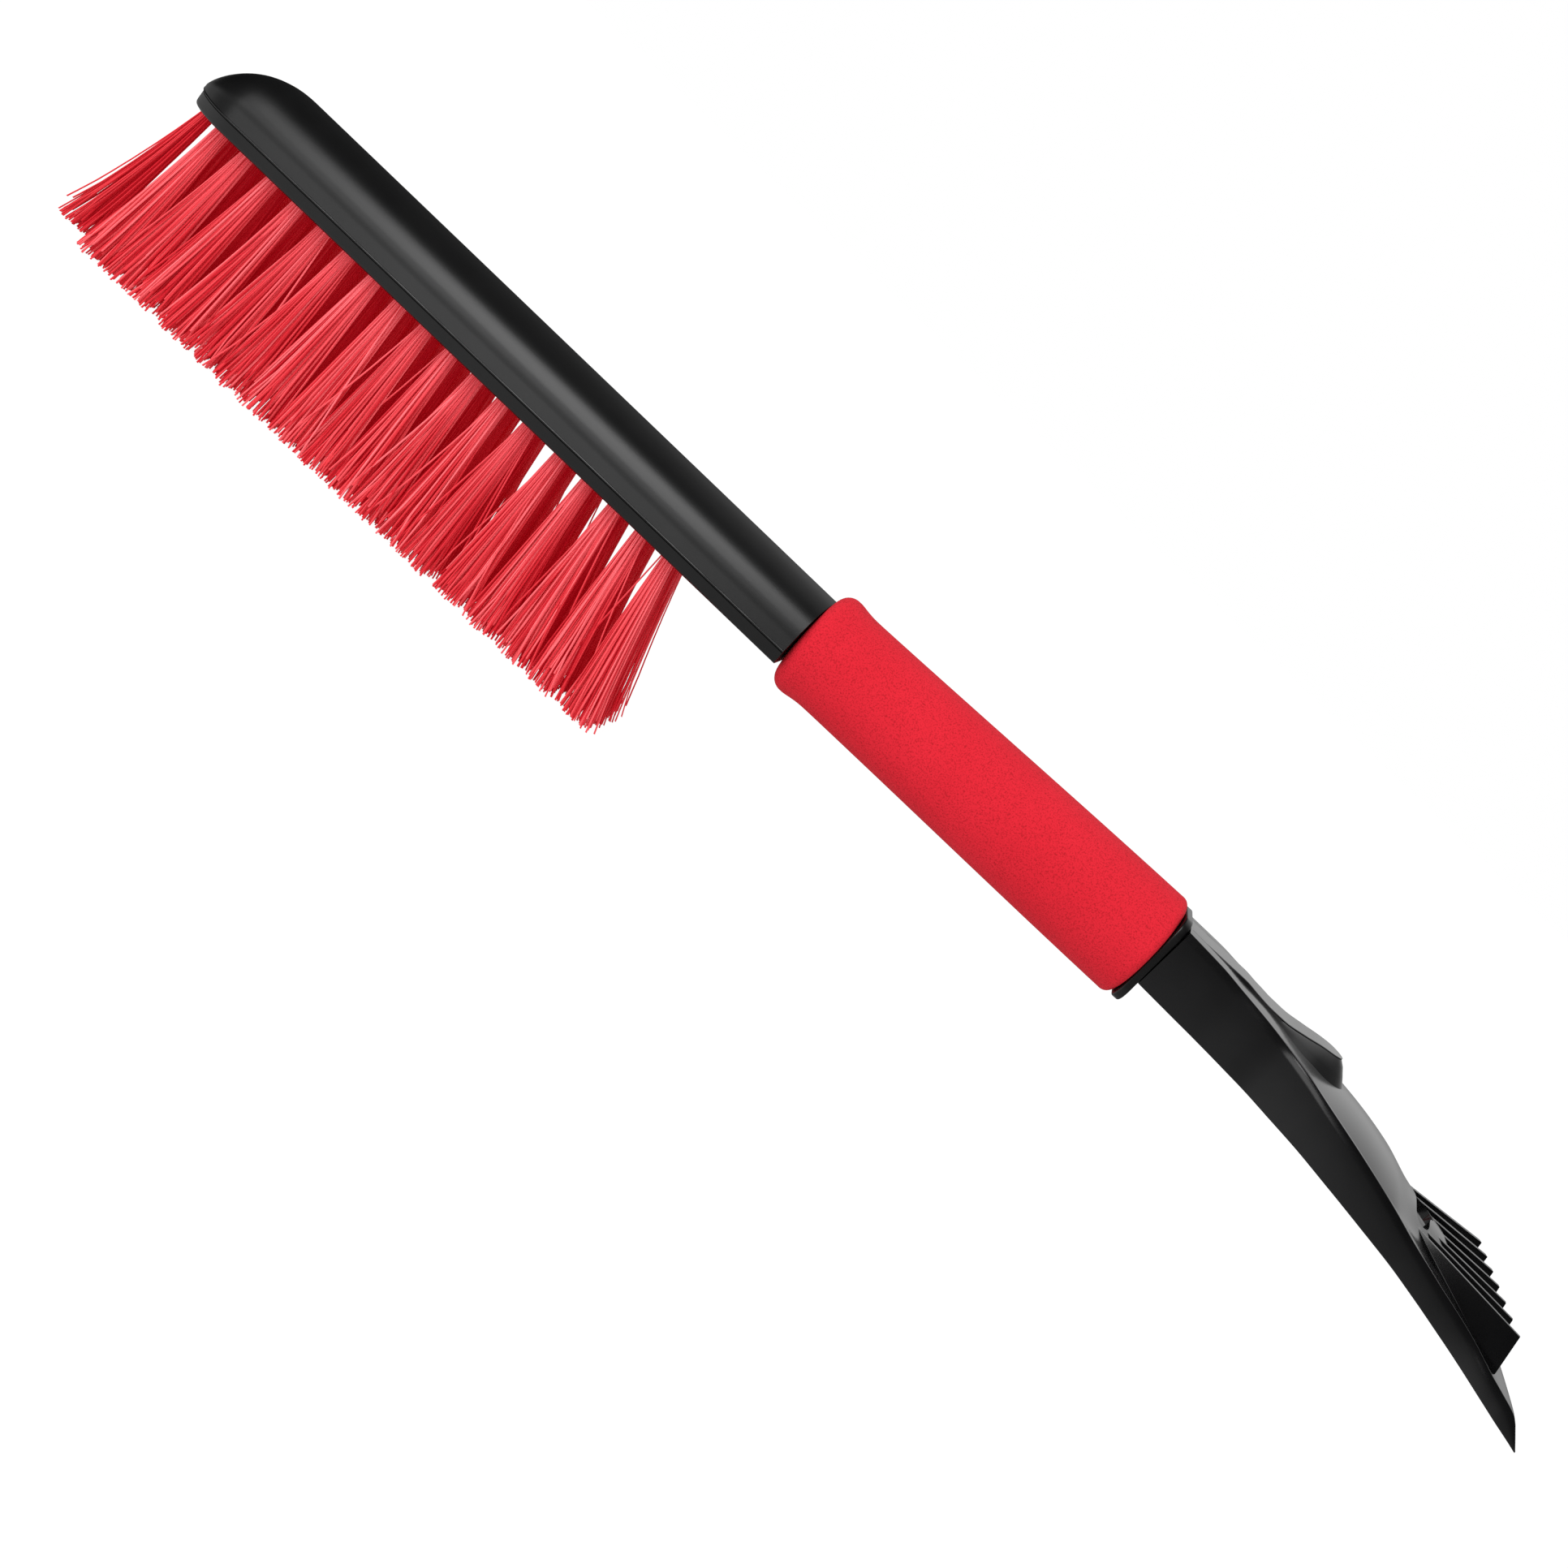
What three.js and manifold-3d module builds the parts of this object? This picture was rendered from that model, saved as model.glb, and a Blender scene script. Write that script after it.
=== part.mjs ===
// A hand-held winter car tool: a bristle brush, a foam grip and an ice scraper in one line.
// Millimetres. +X runs from the brush nose to the scraper edge, +Y across, +Z away from the bristle tips.
// The tool is drawn with x = 0 just ahead of the nose and z = 0 on the bristle face; it is centred at the end.
import * as THREE from 'three';
import { mergeVertices } from 'three/addons/utils/BufferGeometryUtils.js';
import Module from 'manifold-3d';

const wasm = await Module();
wasm.setup();

// ---- driving dimensions -------------------------------------------------------------------------
const CLEARANCE = 0.3; // gap between neighbouring pieces

const BLOCK = {
  nose: 2.2,
  end: 224.8,
  halfWidth: 17.5,
  faceHalfWidth: 16.3, // flat bristle face
  height: 20.8,
  creaseHeight: 4.5, // parting line
  noseHeight: 5, // height of the back where the nose begins
  noseLength: 24, // the back climbs to its full height over this length
  nosePower: 2.7,
  domePower: 2.4,
};

const GRIP = {
  start: 225.1,
  length: 127.1,
  startHeight: 9.1, // height of the grip axis at its brush end
  rise: 2.6, // how much higher the axis is at the scraper end
  radiusStart: 15.5,
  radiusEnd: 17,
  boreRadius: 8.9,
  brushLip: 4.4, // rounding of the brush end
  scraperLip: 2.6, // rounding of the scraper end
  lipFlare: 0.8,
};
const CORE_RADIUS = 8.6;
const COLLAR = { thickness: 2.5, halfWidth: 12.3, halfHeight: 14.9, corner: 5.5, edge: 0.6 };

const TUFT = {
  // The columns stand in two runs.
  runs: [
    { first: 15.05, pitch: 9.65, count: 13 },
    { first: 142.8, pitch: 10.1, count: 5 },
  ],
  noseColumn: 5.8,
  rows: 3,
  rowPitch: 7,
  rootRadius: 2.1,
  tipRadius: 4.5,
  freeLength: 51.4,
  rootDepth: 8,
  sideLean: 3.6, // tip offset of the outer rows
  sides: 8,
};
// How far the tips lean along the block: place of the root, offset of the tip.
const TUFT_LEAN = [
  [5.8, -12],
  [15.05, -6.5],
  [34.35, -6],
  [53.65, -4.6],
  [92.25, 0],
  [142.8, 2.2],
  [152.9, 4.2],
  [163, 6.2],
  [173.1, 7.9],
  [183.2, 10.6],
];

const SOCKET = { depth: 52, radius: 5.6 };
const TENON = { length: 50, radius: 5.3 };
const PIN = { radius: 1.5, length: 15, fromEnd: 24 };

const HEAD = {
  neckStart: 355.3,
  wall: 2.6,
  edgeAcross: 0.8, // rounding of the upper side edges, across the plate and down the wall
  edgeDown: 2.6,
  rimWidth: 3.6, // the plate climbs to its side edges over this width
  noseBow: 3.1, // how far the middle of the blade stands ahead of its corners
  bladeHalfWidth: 50,
  cavityEnd: 479,
  lift: 0.6, // the heights below are measured from this much above the bristle face
};
// Stations along the head: place, half width, underside, height of the side edge, height of the flat
// flank inside that edge, height of the crest, half width of the crown, and how bell-like the crown is.
const HEAD_STATIONS = [
  { x: 355.3, half: 11.8, under: 4.4, edge: 24.2, flank: 24.2, crest: 24.6, crown: 10.4, bell: 1 },
  { x: 368.0, half: 13.8, under: 4.5, edge: 23.9, flank: 23.9, crest: 24.3, crown: 12.4, bell: 1 },
  { x: 375.0, half: 15.0, under: 4.6, edge: 23.3, flank: 23.3, crest: 23.9, crown: 13.6, bell: 1 },
  { x: 386.0, half: 17.4, under: 4.7, edge: 22.6, flank: 22.6, crest: 23.2, crown: 16.0, bell: 1 },
  { x: 393.4, half: 19.0, under: 4.7, edge: 21.9, flank: 21.9, crest: 22.5, crown: 17.6, bell: 1 },
  { x: 403.0, half: 22.4, under: 4.6, edge: 20.7, flank: 20.7, crest: 21.7, crown: 21.0, bell: 1 },
  { x: 410.4, half: 25.0, under: 4.5, edge: 19.3, flank: 19.3, crest: 20.9, crown: 23.6, bell: 1 },
  { x: 425.0, half: 29.5, under: 3.6, edge: 16.6, flank: 16.6, crest: 19.5, crown: 28.1, bell: 1 },
  { x: 439.0, half: 33.2, under: 2.4, edge: 13.2, flank: 13.2, crest: 16.9, crown: 31.8, bell: 1 },
  { x: 448.8, half: 35.5, under: 1.4, edge: 10.5, flank: 10.6, crest: 13.9, crown: 28.6, bell: 1.8 },
  { x: 455.6, half: 37.2, under: 0.4, edge: 9.1, flank: 9.1, crest: 12.4, crown: 27.5, bell: 2 },
  { x: 461.2, half: 38.7, under: -0.5, edge: 7.8, flank: 7.7, crest: 11.3, crown: 27.5, bell: 2 },
  { x: 465.1, half: 39.7, under: -1.2, edge: 6.9, flank: 6.4, crest: 10.6, crown: 27.5, bell: 2 },
  { x: 474.4, half: 42.6, under: -2.8, edge: 4.6, flank: 3.8, crest: 7.0, crown: 27.5, bell: 2 },
  { x: 484.5, half: 46.2, under: -4.45, edge: 1.6, flank: 0.9, crest: 3.2, crown: 28, bell: 2 },
  { x: 489.5, half: 47.7, under: -5.3, edge: 0.5, flank: -0.4, crest: 1.1, crown: 30, bell: 2 },
  { x: 495.2, half: 49.3, under: -6.35, edge: -1.1, flank: -1.1, crest: -1.0, crown: 40, bell: 1 },
  { x: 502.4, half: 50.0, under: -7.9, edge: -7.5, flank: -7.5, crest: -7.5, crown: 45, bell: 1 },
];

const FIN = {
  count: 7,
  tipPitch: 10.5,
  thickness: 1.9,
  top: 10.5, // height of the top edges where they leave the plate
  topRise: 0.5,
  tip: 486.2,
  foot: 488.9,
  fanCentre: 410, // the fins spread like a fan from this place on the middle line
  sunk: 1.2, // how far the root goes into the plate
};
// Stations along the thumb rest: place, height of the edge, half width of the top and of the foot.
const THUMB_REST = [
  { x: 356.5, top: 24.0, half: 6.2, foot: 6.4 },
  { x: 366.0, top: 24.4, half: 6.4, foot: 6.7 },
  { x: 376.0, top: 24.6, half: 6.3, foot: 7.2 },
  { x: 386.0, top: 23.9, half: 6.8, foot: 7.8 },
  { x: 391.0, top: 23.9, half: 6.6, foot: 8.6 },
  { x: 398.0, top: 24.9, half: 6.1, foot: 10.9 },
  { x: 404.4, top: 26.0, half: 5.2, foot: 11.2 },
  { x: 408.0, top: 26.4, half: 4.2, foot: 10.2 },
  { x: 410.4, top: 26.5, half: 1.8, foot: 9.0 },
  { x: 413.6, top: 23.8, half: 1.2, foot: 6.1 },
  { x: 416.4, top: 20.8, half: 0.6, foot: 1.6 },
];
// Half of the window's outline, from the middle of its rear edge round to the middle of its front.
const WINDOW_HALF = [
  [452.3, 0],
  [451.5, 5.5],
  [451.3, 12.4],
  [452.4, 14.4],
  [454.4, 14.8],
  [457.5, 12],
  [458.2, 3.4],
  [461.2, 0],
];

const PARTS = {
  handle: { color: 0x141414, roughness: 0.42, metalness: 0 },
  head: { color: 0x101010, roughness: 0.22, metalness: 0 },
  collar: { color: 0x121212, roughness: 0.35, metalness: 0 },
  foam: { color: 0xd8202c, roughness: 0.95, metalness: 0 },
  filament: { color: 0xd02030, roughness: 0.5, metalness: 0 },
  pin: { color: 0xa8a8ac, roughness: 0.35, metalness: 1 },
};

// ---- solids -------------------------------------------------------------------------------------
function solid(geometry) {
  const bare = geometry.clone();
  bare.deleteAttribute('normal');
  bare.deleteAttribute('uv');
  const merged = mergeVertices(bare, 1e-4);
  return new wasm.Manifold(new wasm.Mesh({
    numProp: 3,
    vertProperties: new Float32Array(merged.attributes.position.array),
    triVerts: new Uint32Array(merged.index.array),
  }));
}

function geometryOf(body) {
  const mesh = body.getMesh();
  const geometry = new THREE.BufferGeometry();
  geometry.setAttribute('position', new THREE.BufferAttribute(mesh.vertProperties, 3));
  geometry.setIndex(new THREE.BufferAttribute(mesh.triVerts, 1));
  geometry.computeVertexNormals();
  return geometry;
}

// A skin over rings of equal point count, with both ends capped. Rings run clockwise seen from the end
// that they start at.
function loft(rings) {
  const count = rings[0].length;
  const points = rings.flat();
  const index = [];
  for (let ring = 0; ring + 1 < rings.length; ring += 1) {
    for (let i = 0; i < count; i += 1) {
      const next = (i + 1) % count;
      const a = ring * count + i;
      const b = ring * count + next;
      const c = a + count;
      const d = b + count;
      index.push(a, b, c, b, d, c);
    }
  }
  const last = (rings.length - 1) * count;
  for (let i = 1; i + 1 < count; i += 1) {
    index.push(0, i + 1, i);
    index.push(last, last + i, last + i + 1);
  }
  const geometry = new THREE.BufferGeometry();
  geometry.setAttribute('position', new THREE.Float32BufferAttribute(points.flat(), 3));
  geometry.setIndex(index);
  geometry.computeVertexNormals();
  return geometry;
}

function alongX(geometry, x) {
  geometry.rotateZ(-Math.PI / 2);
  geometry.translate(x, 0, 0);
  return geometry;
}

function rodAlongX(radius, from, to, sides = 24) {
  const rod = new THREE.CylinderGeometry(radius, radius, to - from, sides);
  return alongX(rod, (from + to) / 2);
}

// Puts what is drawn level along X on the tilted axis of the grip.
const gripTilt = Math.atan2(GRIP.rise, GRIP.length);
const gripPlace = new THREE.Matrix4()
  .makeTranslation(GRIP.start, 0, GRIP.startHeight)
  .multiply(new THREE.Matrix4().makeRotationY(-gripTilt));

function onGripAxis(geometry) {
  return geometry.applyMatrix4(gripPlace);
}

function mix(a, b, share) {
  return a + (b - a) * share;
}

// ---- brush handle -------------------------------------------------------------------------------
// Half of the block's outline, from the middle of the bristle face round to the middle of the back.
function blockSection(halfWidth, height, x) {
  const side = [];
  const faceHalf = BLOCK.faceHalfWidth * (halfWidth / BLOCK.halfWidth);
  const crease = BLOCK.creaseHeight;
  side.push([faceHalf - 0.8, 0], [faceHalf, 0.5], [halfWidth - 0.4, crease - 0.25]);
  const steps = 9;
  for (let i = 0; i < steps; i += 1) {
    const angle = (i / steps) * (Math.PI / 2);
    const y = halfWidth * Math.cos(angle) ** (2 / BLOCK.domePower);
    const z = crease + (height - crease) * Math.sin(angle) ** (2 / BLOCK.domePower);
    side.push([y, z]);
  }
  const other = side.map(([y, z]) => [-y, z]).reverse();
  return [...side, [0, height], ...other].map(([y, z]) => [x, y, z]);
}

function brushBlock() {
  const { nose, end, halfWidth, height, noseHeight, noseLength, nosePower } = BLOCK;
  const rings = [];
  const noseSteps = 10;
  for (let i = 0; i <= noseSteps; i += 1) {
    const x = nose + 0.3 + (noseLength - 0.3) * (i / noseSteps) ** 1.6;
    const toRound = Math.max(0, 1 - (x - nose) / halfWidth);
    const climb = 1 - (1 - (x - nose) / noseLength) ** nosePower;
    rings.push(blockSection(halfWidth * Math.sqrt(1 - toRound ** 2), mix(noseHeight, height, climb), x));
  }
  rings.push(blockSection(halfWidth, height, end));
  return loft(rings);
}

function tuftPlaces() {
  const places = [{ name: 'bristle_tuft_nose', x: TUFT.noseColumn, y: 0 }];
  const columns = TUFT.runs.flatMap(({ first, pitch, count }) => (
    Array.from({ length: count }, (_, i) => first + i * pitch)
  ));
  columns.forEach((x, column) => {
    for (let row = 0; row < TUFT.rows; row += 1) {
      const y = (row - (TUFT.rows - 1) / 2) * TUFT.rowPitch;
      places.push({ name: `bristle_tuft_${column + 1}_${'abc'[row]}`, x, y });
    }
  });
  return places;
}

function brushHandle() {
  const coreEnd = GRIP.length - 0.2;
  const core = onGripAxis(rodAlongX(CORE_RADIUS, -6, coreEnd, 32));
  const socket = onGripAxis(rodAlongX(SOCKET.radius, coreEnd - SOCKET.depth, coreEnd + 5));
  let body = solid(brushBlock()).add(solid(core)).subtract(solid(socket));
  for (const at of tuftPlaces()) {
    const hole = new THREE.CylinderGeometry(
      TUFT.rootRadius + CLEARANCE,
      TUFT.rootRadius + CLEARANCE,
      2 * (TUFT.rootDepth + CLEARANCE),
      TUFT.sides,
    );
    hole.rotateX(Math.PI / 2);
    hole.translate(at.x, at.y, 0);
    body = body.subtract(solid(hole));
  }
  return body.subtract(solid(crossPin(PIN.radius + CLEARANCE, 2 * CORE_RADIUS + 4)));
}

// ---- tufts --------------------------------------------------------------------------------------
function leanAt(x) {
  const after = Math.max(1, TUFT_LEAN.findIndex(([place]) => place >= x - 0.01));
  const [x0, lean0] = TUFT_LEAN[after - 1];
  const [x1, lean1] = TUFT_LEAN[after];
  return mix(lean0, lean1, (x - x0) / (x1 - x0));
}

// A tuft spreads and leans as it leaves the block, and all tips are cut to one level.
function tuft(at) {
  const lean = leanAt(at.x);
  const sideLean = (at.y / TUFT.rowPitch) * TUFT.sideLean;
  const levels = [
    { z: TUFT.rootDepth, along: 0, radius: TUFT.rootRadius },
    { z: 0, along: 0, radius: TUFT.rootRadius },
    { z: -0.45 * TUFT.freeLength, along: 0.42, radius: mix(TUFT.rootRadius, TUFT.tipRadius, 0.6) },
    { z: -TUFT.freeLength, along: 1, radius: TUFT.tipRadius },
  ];
  const rings = levels.map((level) => {
    const ring = [];
    for (let i = 0; i < TUFT.sides; i += 1) {
      const angle = (-i / TUFT.sides) * 2 * Math.PI;
      ring.push([
        at.x + lean * level.along + level.radius * Math.cos(angle),
        at.y + sideLean * level.along + level.radius * Math.sin(angle),
        level.z,
      ]);
    }
    return ring;
  });
  return loft(rings);
}

// ---- grip, collar and pin -----------------------------------------------------------------------
// A sleeve with rounded lips: a closed profile turned round the grip axis.
function foamGrip() {
  const { boreRadius, radiusStart, radiusEnd, brushLip, scraperLip, lipFlare, length } = GRIP;
  const profile = [[boreRadius, 0]];
  const steps = 4;
  for (let i = 0; i <= steps; i += 1) {
    const angle = (i / steps) * (Math.PI / 2);
    profile.push([
      radiusStart + lipFlare - brushLip * (1 - Math.sin(angle)),
      brushLip * (1 - Math.cos(angle)),
    ]);
  }
  profile.push([radiusStart + 0.3, 8], [radiusStart + 0.1, 13]);
  for (let i = 0; i <= steps; i += 1) {
    const angle = (i / steps) * (Math.PI / 2);
    profile.push([
      radiusEnd - scraperLip * (1 - Math.cos(angle)),
      length - scraperLip * (1 - Math.sin(angle)),
    ]);
  }
  profile.push([boreRadius, length], [boreRadius, 0]);
  const points = profile.map(([radius, along]) => new THREE.Vector2(radius, along));
  const sleeve = new THREE.LatheGeometry(points, 32);
  return solid(onGripAxis(alongX(sleeve, 0)));
}

// The collar's outline: a rounded rectangle round the grip axis, at a place along it.
function collarOutline(along, inset) {
  const { halfWidth, halfHeight, corner } = COLLAR;
  const radius = corner - inset;
  const corners = [[1, 1], [-1, 1], [-1, -1], [1, -1]];
  const steps = 6;
  return corners.flatMap(([sideways, upwards], quarter) => (
    Array.from({ length: steps + 1 }, (_, i) => {
      const angle = (quarter + i / steps) * (Math.PI / 2);
      const y = sideways * (halfWidth - corner) + radius * Math.cos(angle);
      const z = upwards * (halfHeight - corner) + radius * Math.sin(angle);
      return [along, y, z];
    })
  ));
}

function gripCollar() {
  const { thickness, edge } = COLLAR;
  const start = GRIP.length + CLEARANCE;
  const levels = [[0, edge], [edge, 0], [thickness - edge, 0], [thickness, edge]];
  const plate = loft(levels.map(([along, inset]) => collarOutline(start + along, inset)));
  const bore = rodAlongX(TENON.radius + CLEARANCE, start - 1, start + thickness + 1);
  return solid(onGripAxis(plate)).subtract(solid(onGripAxis(bore)));
}

function crossPin(radius, length) {
  const pin = new THREE.CylinderGeometry(radius, radius, length, 16);
  pin.translate(GRIP.length - PIN.fromEnd, 0, 0);
  return onGripAxis(pin);
}

// ---- scraper head -------------------------------------------------------------------------------
// How far the plate stands above its flank at y: the crown in the middle and the climb to the side edge.
function overFlank(station, half, y) {
  const across = Math.min(1, Math.abs(y) / station.crown);
  const crown = (station.crest - station.flank) * (1 - across ** 2) ** station.bell;
  const climb = THREE.MathUtils.smoothstep(Math.abs(y), half - HEAD.edgeAcross - HEAD.rimWidth, half);
  return crown + (station.edge - station.flank) * climb;
}

// One cross-section of the head: flat sides, rounded upper edges and a crowned top.
function headSection(station, inset = 0) {
  const { x, under, edge, flank, crest } = station;
  const half = station.half - inset;
  const top = edge - inset;
  const down = Math.min(HEAD.edgeDown, (top - under) * 0.5);
  const acrossEdge = HEAD.edgeAcross * (down / HEAD.edgeDown);
  const side = [[half, under]];
  const arcSteps = 4;
  for (let i = 0; i <= arcSteps; i += 1) {
    const angle = (i / arcSteps) * (Math.PI / 2);
    side.push([half - acrossEdge * (1 - Math.cos(angle)), top - down * (1 - Math.sin(angle))]);
  }
  const crownSteps = 10;
  const flat = half - acrossEdge;
  for (let i = 1; i < crownSteps; i += 1) {
    const y = flat * (1 - i / crownSteps);
    side.push([y, flank - inset + overFlank(station, half, y)]);
  }
  const other = side.map(([y, z]) => [-y, z]).reverse();
  return [...side, [0, crest - inset], ...other].map(([y, z]) => [bowed(x, y), y, z]);
}

// The blade's front is a shallow bow, which fades out towards the neck.
function bowed(x, y) {
  const front = THREE.MathUtils.smoothstep(x, 470, 495);
  return x - HEAD.noseBow * front * (y / HEAD.bladeHalfWidth) ** 2;
}

function stationAt(x) {
  const after = Math.max(1, HEAD_STATIONS.findIndex((s) => s.x >= x));
  const a = HEAD_STATIONS[after - 1];
  const b = HEAD_STATIONS[after];
  const share = (x - a.x) / (b.x - a.x);
  const station = { x };
  for (const key of ['half', 'under', 'edge', 'flank', 'crest', 'crown', 'bell']) {
    station[key] = mix(a[key], b[key], share);
  }
  return station;
}

function plateHeight(x, y) {
  const station = stationAt(x);
  return station.flank + overFlank(station, station.half, y);
}

// The hollow under the plate, open downwards.
function headCavity() {
  const from = HEAD.neckStart + 6;
  const places = HEAD_STATIONS.map((s) => s.x).filter((x) => x > from && x < HEAD.cavityEnd);
  const rings = [from, ...places, HEAD.cavityEnd].map((x) => {
    const station = stationAt(x);
    return headSection({ ...station, under: station.under - 3 }, HEAD.wall);
  });
  return loft(rings);
}

// One fin of the fan: an upright plate from an outline in X and Z, turned about the fan's centre.
function fin(tipY) {
  const { top, topRise, tip, foot, thickness, sunk, fanCentre } = FIN;
  const slope = tipY / (tip - fanCentre);
  const plateAlong = (x) => plateHeight(x, slope * (x - fanCentre));
  let start = 445;
  while (plateAlong(start) > top) {
    start += 0.25;
  }
  const outline = [
    [start - 2, top - 0.1],
    [start, top],
    [tip, top + topRise],
    [foot, plateAlong(foot)],
    [foot, plateAlong(foot) - sunk],
  ];
  const steps = 6;
  for (let i = 1; i < steps; i += 1) {
    const x = mix(foot, start - 1, i / steps);
    outline.push([x, plateAlong(x) - sunk]);
  }
  const stretch = Math.hypot(1, slope);
  const shape = new THREE.Shape(outline.map(([x, z]) => new THREE.Vector2((x - fanCentre) * stretch, z)));
  const plate = new THREE.ExtrudeGeometry(shape, { depth: thickness, bevelEnabled: false });
  plate.rotateX(Math.PI / 2);
  plate.translate(0, thickness / 2, 0);
  plate.rotateZ(Math.atan(slope));
  plate.translate(fanCentre, 0, 0);
  return plate;
}

// A saddle for the thumb, narrow at the neck and steep at its front end.
function thumbRest() {
  const saddle = 0.1;
  const rings = THUMB_REST.map(({ x, top, half, foot }) => {
    const low = plateHeight(x, 0) - 2.2;
    return [
      [foot, low],
      [half, top - 0.3],
      [half * 0.85, top],
      [0, top - saddle],
      [-half * 0.85, top],
      [-half, top - 0.3],
      [-foot, low],
    ].map(([y, z]) => [x, y, z]);
  });
  return loft(rings);
}

// A cutter for the window, whose front edge points forward between the fins.
function windowCutter() {
  const other = WINDOW_HALF.slice(1, -1).map(([x, y]) => [x, -y]).reverse();
  const outline = [...WINDOW_HALF, ...other].map(([x, y]) => new THREE.Vector2(x, y));
  const cutter = new THREE.ExtrudeGeometry(new THREE.Shape(outline), { depth: 40, bevelEnabled: false });
  cutter.translate(0, 0, -12);
  return cutter;
}

function scraperHead() {
  const gripEnd = GRIP.length + CLEARANCE + COLLAR.thickness;
  const tenon = onGripAxis(rodAlongX(TENON.radius, GRIP.length - TENON.length, gripEnd + 6));
  let body = solid(loft(HEAD_STATIONS.map((station) => headSection(station))));
  body = body.subtract(solid(headCavity()));
  body = body.add(solid(thumbRest()));
  for (let i = 0; i < FIN.count; i += 1) {
    body = body.add(solid(fin((i - (FIN.count - 1) / 2) * FIN.tipPitch)));
  }
  body = body.subtract(solid(windowCutter()));
  body = body.translate([0, 0, HEAD.lift]);
  body = body.add(solid(tenon));
  return body.subtract(solid(crossPin(PIN.radius + CLEARANCE, 2 * TENON.radius + 4)));
}

// ---- assembly -----------------------------------------------------------------------------------
const tool = new THREE.Group();

function place(name, geometry, look) {
  const mesh = new THREE.Mesh(geometry, new THREE.MeshStandardMaterial(PARTS[look]));
  mesh.name = name;
  tool.add(mesh);
}

place('brush_handle', geometryOf(brushHandle()), 'handle');
place('foam_grip', geometryOf(foamGrip()), 'foam');
place('grip_collar', geometryOf(gripCollar()), 'collar');
place('scraper_head', geometryOf(scraperHead()), 'head');
place('retaining_pin', crossPin(PIN.radius, PIN.length), 'pin');
for (const at of tuftPlaces()) {
  place(at.name, tuft(at), 'filament');
}

// The origin is under the middle of the tool, level with the bristle tips.
const bounds = new THREE.Box3().setFromObject(tool, true);
const middle = bounds.getCenter(new THREE.Vector3());
tool.position.set(-middle.x, -middle.y, -bounds.min.z);

const model = new THREE.Group();
model.add(tool);
model.updateMatrixWorld(true);

export default model;
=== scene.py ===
"""A snow brush with a foam grip and a finned ice scraper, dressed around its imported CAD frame.

Shapes are worked out in the tool's own millimetres: x from the brush nose towards the scraper edge, y
across, and z up from the bristle face. Object meshes are in metres in the row frame.
"""

import math
import random

import bmesh
import bpy
import numpy as np
from mathutils import Matrix, Vector

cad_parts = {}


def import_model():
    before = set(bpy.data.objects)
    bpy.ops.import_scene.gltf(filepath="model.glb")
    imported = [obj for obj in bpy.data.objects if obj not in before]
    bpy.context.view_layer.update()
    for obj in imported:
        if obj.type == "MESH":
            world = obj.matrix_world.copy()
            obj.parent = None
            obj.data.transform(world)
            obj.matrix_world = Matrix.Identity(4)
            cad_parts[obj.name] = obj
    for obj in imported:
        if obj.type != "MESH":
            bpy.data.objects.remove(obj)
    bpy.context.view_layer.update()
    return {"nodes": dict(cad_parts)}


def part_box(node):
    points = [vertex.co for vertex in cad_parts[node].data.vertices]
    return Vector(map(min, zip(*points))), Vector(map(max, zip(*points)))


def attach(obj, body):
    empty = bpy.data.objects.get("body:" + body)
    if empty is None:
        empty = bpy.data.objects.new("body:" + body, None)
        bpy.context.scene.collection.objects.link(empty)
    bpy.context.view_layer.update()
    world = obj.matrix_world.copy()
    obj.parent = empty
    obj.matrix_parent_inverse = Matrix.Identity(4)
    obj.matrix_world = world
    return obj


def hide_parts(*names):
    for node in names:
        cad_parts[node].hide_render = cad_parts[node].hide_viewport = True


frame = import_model()

MM = 0.001
BODY = "root"

# ---- driving dimensions, in millimetres of the tool ---------------------------------------------
BLOCK_NOSE, BLOCK_END, BLOCK_HALF, BLOCK_HEIGHT = 2.2, 224.8, 17.5, 20.8
FACE_HALF, CREASE, DOME_POWER = 16.3, 4.5, 2.4
SIDE_DRAFT = math.tan(math.radians(7.5))
NOSE_HEIGHT, NOSE_LENGTH, NOSE_POWER = 5.0, 24.0, 2.7
NOSE_CAP, FACE_ROUND = 0.004, 1.3
# The groove under the block's flash line, from below: how far its points stand back from the side of the
# block, and how far below the crease.
GROOVE = [(0.55, 0.62), (0.80, 0.46), (0.75, 0.14)]
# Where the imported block's nose stands, and the gap between neighbouring pieces.
PACKED_NOSE, GAP = 2.5, 0.3

GRIP_START, GRIP_LENGTH = 225.1, 127.1
GRIP_Z, GRIP_RISE = 9.1, 2.6
FOAM_START_R, FOAM_END_R, FOAM_BORE_R = 15.5, 17.0, 8.9
BRUSH_LIP, SCRAPER_LIP, LIP_FLARE = 4.2, 2.6, 0.85
CORE_R, SOCKET_R, SOCKET_DEPTH = 8.6, 5.6, 52.0
COLLAR_HALF, COLLAR_TALL, COLLAR_CORNER, COLLAR_THICK = 12.3, 14.9, 5.5, 2.5
TENON_R, TENON_LENGTH = 5.3, 50.0

TUFT_COLUMNS = [15.05 + 9.65 * i for i in range(13)] + [142.8 + 10.1 * i for i in range(5)]
TUFT_NOSE, ROW_PITCH, ROOT_R = 5.8, 7.0, 1.85
HOLE_DEPTH, HOLE_GAP, HOLE_LEAD = 8.0, 0.45, 0.3
# Places along the block and how far the tips of the tufts that stand there lean.
LEAN = [
    (5.8, -13), (15, -6.5), (34, -6), (54, -4.6), (92, 0), (142.8, 2.2), (153, 4.2), (163, 6.2), (173, 7.9),
    (183.2, 10.6),
]
FREE_LENGTH, TIP_SPREAD, SIDE_LEAN = 51.4, 6.1, 3.6
FILAMENTS, FILAMENT_R = 80, 0.215
GOLDEN_ANGLE = 2.39996
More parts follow.
